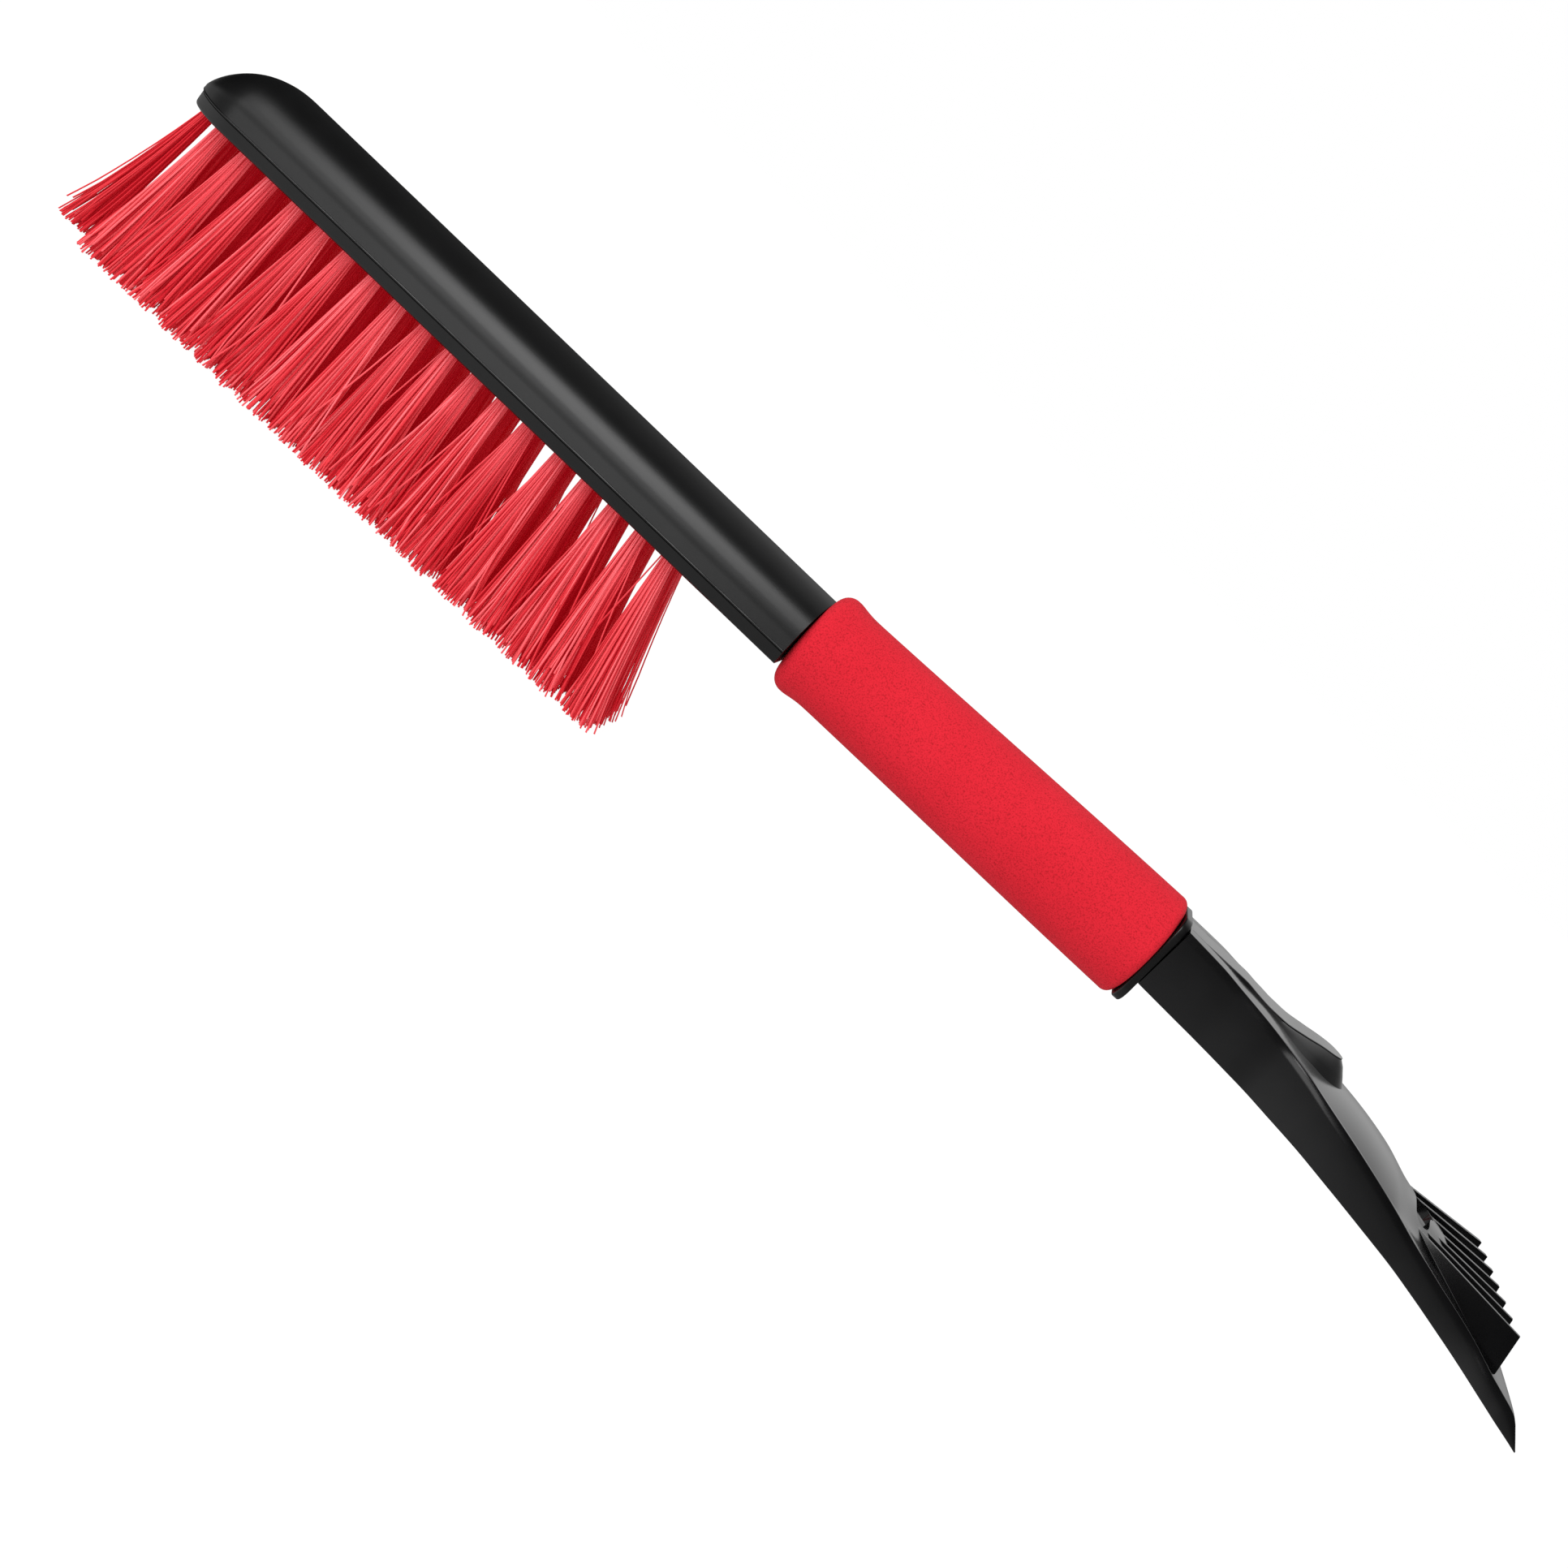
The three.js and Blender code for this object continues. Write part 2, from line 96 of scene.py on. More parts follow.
# A few filaments stray from their tuft, except at the two ends of the brush, where the tufts lean most.
STRAY_SHARE, SHORT_SHARE, END_LEAN = 0.06, 0.3, 9
# Shares of a filament's length at which its thickness is drawn, closer together near the cut tip.
LEVELS = (0.0, 0.1, 0.24, 0.4, 0.56, 0.7, 0.8, 0.87, 0.93, 1.0)

WALL, EDGE_ACROSS, EDGE_DOWN, RIM_WIDTH, FRONT_BOW, BLADE_HALF = 2.6, 0.8, 2.6, 3.6, 3.1, 50.0
NECK, CAVITY_START, CAVITY_END, CAVITY_BELOW = 355.3, 361.3, 479.0, 3.0
# Heights of the head are measured from this much above the bristle face.
LIFT = 0.6
# Along the head: place, half width, underside, height of the side edge, height of the flank inside it,
# height of the crest, half width of the crown, and how bell-like the crown is.
STATIONS = [
    (355.3, 11.8, 4.4, 24.2, 24.2, 24.6, 10.4, 1.0),
    (368.0, 13.8, 4.5, 23.9, 23.9, 24.3, 12.4, 1.0),
    (375.0, 15.0, 4.6, 23.3, 23.3, 23.9, 13.6, 1.0),
    (386.0, 17.4, 4.7, 22.4, 22.4, 23.2, 16.0, 1.0),
    (393.4, 19.0, 4.7, 21.5, 21.5, 22.5, 17.6, 1.0),
    (403.0, 22.4, 4.6, 20.2, 20.2, 21.7, 21.0, 1.0),
    (410.4, 25.0, 4.5, 18.8, 18.8, 20.9, 23.6, 1.0),
    (425.0, 29.5, 3.6, 16.0, 16.0, 19.5, 28.1, 1.0),
    (439.0, 33.2, 2.4, 12.8, 12.8, 16.9, 31.8, 1.0),
    (448.8, 35.5, 1.4, 10.1, 10.2, 13.9, 28.6, 1.8),
    (455.6, 37.2, 0.4, 8.5, 8.5, 12.4, 27.5, 2.0),
    (461.2, 38.7, -0.5, 7.2, 7.1, 11.3, 27.5, 2.0),
    (465.1, 39.7, -1.2, 6.4, 5.9, 10.6, 27.5, 2.0),
    (474.4, 42.6, -2.8, 4.3, 3.5, 7.0, 27.5, 2.0),
    (484.5, 46.2, -4.45, 1.6, 0.9, 3.2, 28.0, 2.0),
    (489.5, 47.7, -5.3, 0.5, -0.4, 1.1, 30.0, 2.0),
    (495.2, 49.3, -6.35, -1.1, -1.1, -1.0, 40.0, 1.0),
    (502.4, 50.0, -7.9, -7.5, -7.5, -7.5, 45.0, 1.0),
]
FIN_COUNT, FIN_TIP_PITCH, FIN_THICK, FIN_TOP, FIN_RISE = 7, 10.5, 1.9, 10.5, 0.5
FIN_TIP, FIN_FOOT, FIN_SUNK, FAN_CENTRE = 486.2, 488.9, 1.2, 410.0
FIN_TAPER, FIN_SOFT = 0.12, 0.2
# Half of the window's outline, from the middle of its rear edge round to the middle of its front.
WINDOW_HALF = [
    (452.3, 0.0), (451.5, 5.5), (451.3, 12.4), (452.4, 14.4), (454.4, 14.8), (457.5, 12.0), (458.2, 3.4),
    (461.2, 0.0),
]
# Along the thumb rest: place, height of its edge. Then the half widths of its top and of its foot.
THUMB_EDGE = [
    (356.0, 24.0), (361, 24.35), (370, 24.5), (376, 24.6), (381, 24.15), (386, 23.85), (391, 23.9),
    (398, 24.9), (404, 26.0), (408, 26.4), (411, 26.5),
]
THUMB_TOP = [(356.0, 6.2), (366, 6.4), (376, 6.3), (386, 6.8), (392, 6.6), (398, 6.1), (404.4, 5.2)]
THUMB_FOOT = [
    (356.0, 6.4), (366, 6.7), (376, 7.2), (386, 7.8), (391, 8.6), (396, 10.8), (400, 11.6), (404, 11.0),
]
# How far the rounded front of the thumb rest's top and foot reach, and how blunt each is.
THUMB_TOP_NOSE, THUMB_FOOT_NOSE = (6.2, 1.0), (12.6, 1.35)

# The camera: the photographer stood 0.49 m to the near side, a little above, with the camera rolled.
EYE, PITCH, ROLL = (273.4, -492.0, 102.3), 14.64, 43.8
LENS, LENS_SHIFT = 41.65, (-0.0414, 0.0399)
# To the camera the floor is mostly an even white of its own, with a trace of the tool's shadow.
FLOOR_GLOW, FLOOR_WHITE = 0.93, 1.03

# What glossy plastic mirrors, by the angle round the tool (0 level towards the camera, 90 overhead, 180
# level behind) and by the direction along it (-1 nose, 1 blade).
AMBIENT = 1.25
ROUND = ((-180, 0.24), (-90, 0.6), (-40, 0.8), (-16, 0.48), (-6, 0.2), (4, 0.08), (40, 0.03), (180, 0.0))
FRONT_SIDE = ((-1.0, 1.0), (-0.35, 1.0), (-0.14, 0.45), (1.0, 0.4))
REAR = (
    (-180, 0.3), (-150, 0.2), (-120, 0.0), (72, 0.0), (85, 0.1), (105, 0.9), (140, 1.3), (155, 1.0),
    (170, 0.9), (180, 0.35),
)
REAR_SIDE = (
    (-1.0, 0.0), (-0.35, 0.02), (-0.12, 0.15), (0.05, 0.9), (0.15, 1.0), (0.45, 1.0), (0.7, 0.15), (1.0, 0.1),
)

# The tool's zero in the row frame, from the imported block: nose in x, bristle face in z.
_low, _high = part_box("brush_handle")
ORIGIN = Vector((_low.x - PACKED_NOSE * MM, 0.0, _high.z - BLOCK_HEIGHT * MM))


def to_row(x, y, z):
    """A point of the tool, in millimetres, as metres in the row frame."""
    return ORIGIN + Vector((x, y, z)) * MM


def mix(a, b, share):
    return a + (b - a) * share


def smooth(x, low, high):
    t = min(1.0, max(0.0, (x - low) / (high - low)))
    return t * t * (3 - 2 * t)


def curve(pairs):
    """A smooth line through the points, which does not overshoot between them."""
    xs, ys = (np.array(values, float) for values in zip(*pairs))
    steps = np.diff(xs)
    slopes = np.diff(ys) / steps
    tangents = np.zeros(len(xs))
    tangents[0], tangents[-1] = slopes[0], slopes[-1]
    for i in range(1, len(xs) - 1):
        if slopes[i - 1] * slopes[i] > 0:
            tangents[i] = 2 / (1 / slopes[i - 1] + 1 / slopes[i])

    def at(x):
        i = int(np.clip(np.searchsorted(xs, x) - 1, 0, len(xs) - 2))
        t = min(1.0, max(0.0, (x - xs[i]) / steps[i]))
        start = (1 + 2 * t) * (1 - t) ** 2 * ys[i] + t * (1 - t) ** 2 * steps[i] * tangents[i]
        end = t * t * (3 - 2 * t) * ys[i + 1] - t * t * (1 - t) * steps[i] * tangents[i + 1]
        return float(start + end)

    return at


# ---- mesh helpers -------------------------------------------------------------------------------
def mesh_object(name, points, faces):
    """An object from points in the tool's millimetres."""
    mesh = bpy.data.meshes.new(name)
    mesh.from_pydata([to_row(*p) for p in points], [], faces)
    mesh.validate()
    obj = bpy.data.objects.new(name, mesh)
    bpy.context.scene.collection.objects.link(obj)
    return obj


def skin(rings, closed_ends=True):
    """Points and faces of a skin over rings of equal count, capped at both ends."""
    count = len(rings[0])
    points = [p for ring in rings for p in ring]
    faces = []
    for r in range(len(rings) - 1):
        for i in range(count):
            a, b = r * count + i, r * count + (i + 1) % count
            faces.append((a, b, b + count, a + count))
    if closed_ends:
        faces.append(tuple(reversed(range(count))))
        last = (len(rings) - 1) * count
        faces.append(tuple(last + i for i in range(count)))
    return points, faces


def outward(obj):
    """Turns every face outwards."""
    bm = bmesh.new()
    bm.from_mesh(obj.data)
    bmesh.ops.recalc_face_normals(bm, faces=bm.faces)
    bm.to_mesh(obj.data)
    bm.free()
    return obj


def shade(obj, angle=32):
    """Smooth shading, with a true edge where faces meet more sharply than angle."""
    obj.data.shade_smooth()
    obj.data.set_sharp_from_angle(angle=math.radians(angle))
    return obj


def combined(obj, tool, operation="UNION"):
    """Adds the tool's shape to obj, or takes it out, and deletes the tool."""
    modifier = obj.modifiers.new("combine", "BOOLEAN")
    modifier.operation = operation
    modifier.solver = "MANIFOLD"
    modifier.object = tool
    apply_modifiers(obj)
    bpy.data.objects.remove(tool)
    return obj


def cut(obj, cutter):
    return combined(obj, cutter, "DIFFERENCE")


def apply_modifiers(obj):
    depsgraph = bpy.context.evaluated_depsgraph_get()
    done = bpy.data.meshes.new_from_object(obj.evaluated_get(depsgraph))
    obj.modifiers.clear()
    obj.data = done
    return obj


def dress(obj, slot, material, *nodes):
    """Gives a finished piece its material and body and hides the CAD nodes that it stands for; the slot is
    not used.
    """
    obj.data.materials.clear()
    obj.data.materials.append(material)
    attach(obj, BODY)
    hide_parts(*nodes)
    return obj


# ---- materials ----------------------------------------------------------------------------------
class Nodes:
    """A small builder for a node material with one Principled shader."""

    def __init__(self, name, roughness=0.4):
        self.material = bpy.data.materials.new(name)
        self.material.use_nodes = True
        self.tree = self.material.node_tree
        self.shader = self.tree.nodes["Principled BSDF"]
        self.shader.inputs["Roughness"].default_value = roughness
        self.coords = self.add("ShaderNodeTexCoord").outputs["Object"]

    def add(self, kind, inputs=None, **settings):
        node = self.tree.nodes.new(kind)
        for key, value in settings.items():
            setattr(node, key, value)
        for key, value in (inputs or {}).items():
            self.put(node.inputs[key], value)
        return node

    def put(self, socket, value):
        if isinstance(value, bpy.types.NodeSocket):
            self.tree.links.new(value, socket)
        else:
            socket.default_value = value

    def noise(self, scale, detail=3.0, stretch=(1, 1, 1)):
        at = self.add("ShaderNodeMapping", {"Vector": self.coords, "Scale": stretch})
        noise = self.add("ShaderNodeTexNoise", {"Vector": at.outputs[0], "Scale": scale, "Detail": detail})
        return noise.outputs["Fac"]

    def ramp(self, value, *stops):
        node = self.add("ShaderNodeValToRGB", {"Fac": value})
        elements = node.color_ramp.elements
        while len(elements) < len(stops):
            elements.new(0.5)
        for element, (place, colour) in zip(elements, stops):
            element.position = place
            element.color = (*colour, 1)
        return node.outputs["Color"]

    def between(self, value, low, high):
        """value from 0 to 1, spread from low to high."""
        node = self.add("ShaderNodeMapRange", {"Value": value, "To Min": low, "To Max": high})
        return node.outputs["Result"]

    def bump(self, height, distance, strength=1.0, normal=None):
        inputs = {"Height": height, "Distance": distance, "Strength": strength}
        if normal is not None:
            inputs["Normal"] = normal
        return self.add("ShaderNodeBump", inputs).outputs["Normal"]

    def finish(self, **sockets):
        for key, value in sockets.items():
            self.put(self.shader.inputs[key.replace("_", " ")], value)
        return self.material


def moulded_plastic(name, dark, light, roughness, grain):
    """Black moulded plastic: a faint mottle, a fine grain and soft streaks along the moulding."""
    n = Nodes(name)
    mottle = n.noise(90, 4)
    streak = n.noise(60, 3, stretch=(0.12, 1, 1))
    fine = n.noise(2600, 2)
    colour = n.ramp(mottle, (0.3, dark), (0.75, light))
    rough = n.between(streak, roughness[0], roughness[1])
    first = n.bump(fine, grain * MM, 0.4)
    normal = n.bump(mottle, 0.03 * MM, 0.5, first)
    return n.finish(Base_Color=colour, Roughness=rough, Normal=normal)


def foam_rubber():
    """Red foam: a matt skin of fine open pores, with painted shade in their pits and a slow change of tone.
    """
    n = Nodes("red_foam_rubber", 0.92)
    slow = n.noise(38, 3)
    pores = n.noise(2300, 3)
    cells = n.add("ShaderNodeTexVoronoi", {"Vector": n.coords, "Scale": 1500.0}).outputs["Distance"]
    base = n.ramp(slow, (0.25, (0.44, 0.0095, 0.019)), (0.8, (0.49, 0.0125, 0.024)))
    # Painted shade: the colour darkens where the pore bump sinks in.
    painted_pore_shade = n.ramp(pores, (0.30, (0.62, 0.5, 0.5)), (0.52, (1, 1, 1)))
    colour = n.add(
        "ShaderNodeMix",
        {"Factor": 1.0, "A": base, "B": painted_pore_shade},
        data_type="RGBA",
        blend_type="MULTIPLY",
    )
    first = n.bump(cells, 0.16 * MM, 0.5)
    normal = n.bump(pores, 0.14 * MM, 0.5, first)
    return n.finish(Base_Color=colour.outputs["Result"], Normal=normal, Specular_IOR_Level=0.12)


def nylon_filament():
    """Red nylon, a tone per filament: painted shade inside the brush, a painted sheen at the roots on its
    sides, deeper at the trimmed tip.
    """
    n = Nodes("red_nylon_filament", 0.36)
    tint_and_painted_light = n.add("ShaderNodeAttribute", attribute_name="tint_and_painted_light")
    parts = n.add("ShaderNodeSeparateColor", {"Color": tint_and_painted_light.outputs["Color"]})
    body = n.ramp(
        parts.outputs[0],
        (0.0, (0.40, 0.006, 0.014)),
        (0.5, (0.55, 0.033, 0.043)),
        (1.0, (0.73, 0.135, 0.15)),
    )
    # A painted sheen near the roots of the filaments at the brush's sides, from the third channel.
    painted_sheen = n.add("ShaderNodeMath", {0: parts.outputs[2], 1: 0.45}, operation="MULTIPLY")
    with_painted_sheen = n.add(
        "ShaderNodeMix",
        {"Factor": painted_sheen.outputs[0], "A": body, "B": (0.72, 0.13, 0.15, 1)},
        data_type="RGBA",
    )
    patchy = n.between(n.noise(420, 2), 0.0, 0.5)
    amount = n.add("ShaderNodeMath", {0: parts.outputs[1], 1: patchy}, operation="MULTIPLY")
    mixed = n.add(
        "ShaderNodeMix",
        {"Factor": amount.outputs[0], "A": with_painted_sheen.outputs["Result"], "B": (0.52, 0.015, 0.025, 1)},
        data_type="RGBA",
    )
    along = n.noise(700, 2, stretch=(1, 1, 0.05))
    normal = n.bump(along, 0.02 * MM, 0.3)
    # A painted red glow stands in for light passing through the translucent nylon and keeps the gaps between
    # the tufts red.
    n.put(n.shader.inputs["Emission Color"], (0.55, 0.002, 0.010, 1))
    return n.finish(
        Base_Color=mixed.outputs["Result"], Normal=normal, Specular_IOR_Level=0.3, Emission_Strength=0.2,
    )


def steel():
    n = Nodes("plain_steel", 0.35)
    lines = n.noise(900, 2, stretch=(1, 0.05, 1))
    rough = n.between(lines, 0.28, 0.5)
    return n.finish(Base_Color=(0.6, 0.6, 0.62, 1), Metallic=1.0, Roughness=rough)


# ---- the brush handle ---------------------------------------------------------------------------
def side_profile(half, height, crease, low):
    """Half of the back's outline from low upwards: a drafted flat that turns into a dome."""
    dome = height - crease
    # Up to this share of the dome the points go by height, and above it by angle.
    split = 0.6
    points = []
    for i in range(37):
        z = mix(low, crease + split * dome, i / 36)
        oval = half * (1 - ((z - crease) / dome) ** DOME_POWER) ** (1 / DOME_POWER)
        flat = half - (z - crease) * SIDE_DRAFT * half / BLOCK_HALF
        points.append((mix(flat, oval, smooth(z, crease + 0.22 * dome, crease + 0.5 * dome)), z))
    start = math.asin(split ** (DOME_POWER / 2))
    for i in range(1, 28):
        turn = mix(start, math.pi / 2, i / 28)
        y = half * math.cos(turn) ** (2 / DOME_POWER)
        points.append((y, crease + dome * math.sin(turn) ** (2 / DOME_POWER)))
    return points


def block_ring(x, half, height, swell):
    """The block's section at x: flat face, lower band, a groove under a thin flash line and the back."""
    share = half / BLOCK_HALF
    face = FACE_HALF * share
    crease = min(CREASE, height * 0.86)
    flash = 0.12 + 0.10 * swell
    lip = crease + 0.04 + 0.05 * swell
    side = [(face * 0.2 * i, 0.0) for i in range(1, 5)]
    side.append((face - FACE_ROUND * share, 0.0))
    for i in range(1, 6):
        turn = i / 5 * math.pi / 2
        inward = FACE_ROUND * share * (1 - math.sin(turn))
        side.append((face - inward, FACE_ROUND - FACE_ROUND * math.cos(turn)))
    side.append((mix(face, half - GROOVE[0][0], 0.6), crease * 0.6))
    side += [(half - back, crease - below) for back, below in GROOVE]
    side += [
        (half + flash - 0.06, lip - 0.10),
        (half + flash, lip),
        (half + flash * 0.45, lip + 0.22),
    ]
    side += side_profile(half, height, crease, lip + 0.3)
    left = [(x, -y, z) for y, z in reversed(side)]
    right = [(x, y, z) for y, z in side]
    return [(x, 0.0, 0.0)] + right + [(x, 0.0, height)] + left


def block_mesh(rng):
    """The block's skin, whose flash line swells and thins a little along it."""
    swells = [rng.random() for _ in range(60)]
    rings = []
    nose_steps = 40
    for i in range(nose_steps + 1):
        along = mix(NOSE_CAP, NOSE_LENGTH, (i / nose_steps) ** 2)
        to_round = max(0.0, 1 - along / BLOCK_HALF)
        climb = 1 - (1 - along / NOSE_LENGTH) ** NOSE_POWER
        half = BLOCK_HALF * math.sqrt(1 - to_round ** 2)
        height = mix(NOSE_HEIGHT, BLOCK_HEIGHT, climb)
        rings.append(block_ring(BLOCK_NOSE + along, half, height, 0.4))
    steps = 180
    for i in range(1, steps + 1):
        x = mix(BLOCK_NOSE + NOSE_LENGTH, BLOCK_END, i / steps)
        part = i / steps * (len(swells) - 2)
        swell = mix(swells[int(part)], swells[int(part) + 1], smooth(part % 1, 0, 1))
        rings.append(block_ring(x, BLOCK_HALF, BLOCK_HEIGHT, swell))
    return skin(rings)


def on_grip_axis(along, radius, turn):
    """A point at a place along the tilted grip axis."""
    tilt = math.atan2(GRIP_RISE, GRIP_LENGTH)
    up = radius * math.cos(turn)
    return (
        GRIP_START + along * math.cos(tilt) - up * math.sin(tilt),
        radius * math.sin(turn),
        GRIP_Z + along * math.sin(tilt) + up * math.cos(tilt),
    )


def turned(profile, sides=96):
    """Points and faces of a closed profile of (along, radius) turned round the grip axis."""
    points = []
    for along, radius in profile:
        points += [on_grip_axis(along, radius, 2 * math.pi * i / sides) for i in range(sides)]
    faces = []
    rows = len(profile)
    for r in range(rows):
        for i in range(sides):
            a, b = r * sides + i, r * sides + (i + 1) % sides
            c, d = (r + 1) % rows * sides + (i + 1) % sides, (r + 1) % rows * sides + i
            faces.append((a, b, c, d))
    return points, faces


def rod(name, profile, sides=48):
    """A solid of revolution round the grip axis with flat ends."""
    turns = [2 * math.pi * i / sides for i in range(sides)]
    rings = [[on_grip_axis(along, radius, turn) for turn in turns] for along, radius in profile]
    return outward(mesh_object(name, *skin(rings)))


def tuft_places():
    """The name of each tuft's CAD node and the middle of its hole."""
    places = [("nose", TUFT_NOSE, 0.0)]
    for column, x in enumerate(TUFT_COLUMNS, 1):
        for letter, row in (("a", -1), ("b", 0), ("c", 1)):
            places.append((f"{column}_{letter}", x, row * ROW_PITCH))
    return places


def tuft_holes():
    """All the blind tuft holes as one cutter, each with a small lead-in."""
    points, faces = [], []
    sides = 16
    turns = [2 * math.pi * i / sides for i in range(sides)]
    for _, x, y in tuft_places():
        rings = []
        for z, lead in ((-1.0, HOLE_LEAD), (0.0, HOLE_LEAD), (0.35, 0.0), (HOLE_DEPTH, 0.0)):
            radius = ROOT_R + HOLE_GAP + lead
            rings.append([(x + radius * math.cos(turn), y + radius * math.sin(turn), z) for turn in turns])
        hole_points, hole_faces = skin(rings)
        start = len(points)
        points += hole_points
        faces += [tuple(start + i for i in face) for face in hole_faces]
    return outward(mesh_object("tuft_holes", points, faces))


def brush_handle(material):
    """The block with its tuft holes, the core under the grip and the socket in the core's end."""
    handle = outward(mesh_object("brush_handle_body", *block_mesh(random.Random(11))))
    handle = cut(handle, tuft_holes())
    end = GRIP_LENGTH - 0.2
    handle = combined(handle, rod("core", [(-3.0, CORE_R), (end - 0.6, CORE_R), (end, CORE_R - 0.6)]))
    handle = cut(handle, rod("socket", [(end - SOCKET_DEPTH, SOCKET_R), (end + 5, SOCKET_R)]))
    return dress(shade(handle, 30), "handle_plastic", material, "brush_handle")


# ---- the bristle tufts --------------------------------------------------------------------------
def filament(rng, index, x, y, lean):
    """The middle line of one filament, from inside its hole to its cut tip."""
    angle = index * GOLDEN_ANGLE + rng.gauss(0, 0.06)
    spread = math.sqrt((index + 0.5) / FILAMENTS)
    root = (x + ROOT_R * spread * math.cos(angle), y + ROOT_R * spread * math.sin(angle))
    drift = angle + rng.gauss(0, 0.16)
    reach = spread * TIP_SPREAD * rng.uniform(0.9, 1.06)
    wander = rng.gauss(0, 0.25)
    if rng.random() < STRAY_SHARE:
        wander = rng.choice((-1, 1)) * rng.uniform(2.5, 7.5)
    if lean > END_LEAN:
        wander = min(wander, 0.3)
    if lean < -END_LEAN:
        wander = max(wander, -0.3)
    middle = (x + lean, y + y / ROW_PITCH * SIDE_LEAN)
    tip = (middle[0] + reach * math.cos(drift) + wander, middle[1] + 0.8 * reach * math.sin(drift))
    drop = FREE_LENGTH - abs(rng.gauss(0, 0.3))
    if rng.random() < SHORT_SHARE:
        drop -= rng.uniform(0.5, 6.5)
    bow = rng.gauss(0, 0.16), rng.gauss(0, 0.3)
    kink = rng.gauss(0, 0.45), rng.gauss(0, 0.3)
    line = []
    for level in LEVELS:
        go = 0.8 * level + 0.2 * level ** 2
        arc = math.sin(math.pi * level)
        end = max(0.0, (level - 0.8) / 0.2)
        line.append((
            mix(root[0], tip[0], go) + bow[0] * arc + kink[0] * end,
            mix(root[1], tip[1], go) + bow[1] * arc + kink[1] * end,
            0.8 - (drop + 0.8) * level,
        ))
    return line


def tuft(name, x, y, lean, rng, material):
    """One tuft of filaments, whose colour layer holds each one's tone with painted shade, its tip and a
    painted sheen at the root.
    """
    sides = 5
    points, faces, painted_light_tints = [], [], []
    for index in range(FILAMENTS):
        line = filament(rng, index, x, y, lean)
        radius = FILAMENT_R * rng.uniform(0.85, 1.12)
        # Painted shade: filaments inside the brush are painted darker than those at its two sides, which
        # alone get a painted sheen near the root.
        painted_light_outer = smooth(abs(line[0][1]), 3.0, 7.5)
        tone_with_painted_shade = rng.random() * mix(0.4, 1.0, painted_light_outer)
        start = len(points)
        for (px, py, pz), level in zip(line, LEVELS):
            for s in range(sides):
                turn = 2 * math.pi * s / sides
                thick = radius * (1 + 0.25 * level)
                points.append((px + thick * math.cos(turn), py + thick * math.sin(turn), pz))
                # Channels: tone with painted shade, the tip, and the painted sheen near the root.
                painted_light_tints.append((tone_with_painted_shade, smooth(level, 0.86, 1.0), painted_light_outer * (1 - smooth(level, 0.0, 0.6))))
        for i in range(len(line) - 1):
            for s in range(sides):
                a, b = start + i * sides + s, start + i * sides + (s + 1) % sides
                faces.append((a, a + sides, b + sides, b))
        last = start + (len(line) - 1) * sides
        faces.append(tuple(range(start, start + sides)))
        faces.append(tuple(reversed(range(last, last + sides))))
    obj = mesh_object(f"filaments_{name}", points, faces)
    layer = obj.data.color_attributes.new("tint_and_painted_light", "FLOAT_COLOR", "POINT")
    values = np.ones((len(points), 4), np.float32)
    values[:, :3] = painted_light_tints
    layer.data.foreach_set("color", values.ravel())
    return dress(shade(obj, 50), "filament_nylon", material, f"bristle_tuft_{name}")


# ---- grip and collar ----------------------------------------------------------------------------
def foam_sleeve(material):
    """The sleeve: rounded lips and a slight flare at the brush end, where it is pushed against the block."""
    steps = 12
    profile = []
    for i in range(steps + 1):
        turn = i / steps * math.pi / 2
        profile.append((
            BRUSH_LIP * (1 - math.cos(turn)),
            FOAM_START_R + LIP_FLARE - BRUSH_LIP * (1 - math.sin(turn)),
        ))
    stretch = 110
    for i in range(1, stretch):
        along = mix(BRUSH_LIP, GRIP_LENGTH - SCRAPER_LIP, i / stretch)
        flare = LIP_FLARE * math.exp(-((along - BRUSH_LIP) / 4.2) ** 2)
        profile.append((along, mix(FOAM_START_R, FOAM_END_R, smooth(along, -10, GRIP_LENGTH + 5)) + flare))
    for i in range(steps + 1):
        turn = i / steps * math.pi / 2
        profile.append((
            GRIP_LENGTH - SCRAPER_LIP * (1 - math.sin(turn)),
            FOAM_END_R - SCRAPER_LIP * (1 - math.cos(turn)),
        ))
    profile += [(GRIP_LENGTH, 12.0), (GRIP_LENGTH, FOAM_BORE_R), (0.0, FOAM_BORE_R), (0.0, 10.6)]
    obj = outward(mesh_object("foam_sleeve", *turned(profile, 160)))
    return dress(shade(obj, 60), "grip_foam", material, "foam_grip")


def collar_outline(inset):
    """A rounded rectangle across the grip axis, as places sideways and upwards."""
    half, tall, corner = COLLAR_HALF - inset, COLLAR_TALL - inset, COLLAR_CORNER - inset
    points = []
    steps = 12
    for quarter, (sideways, upwards) in enumerate(((1, 1), (1, -1), (-1, -1), (-1, 1))):
        for i in range(steps + 1):
            turn = math.radians(90 * i / steps + 90 * quarter)
            points.append((
                sideways * (half - corner) + corner * math.sin(turn),
                upwards * (tall - corner) + corner * math.cos(turn),
            ))
    return points


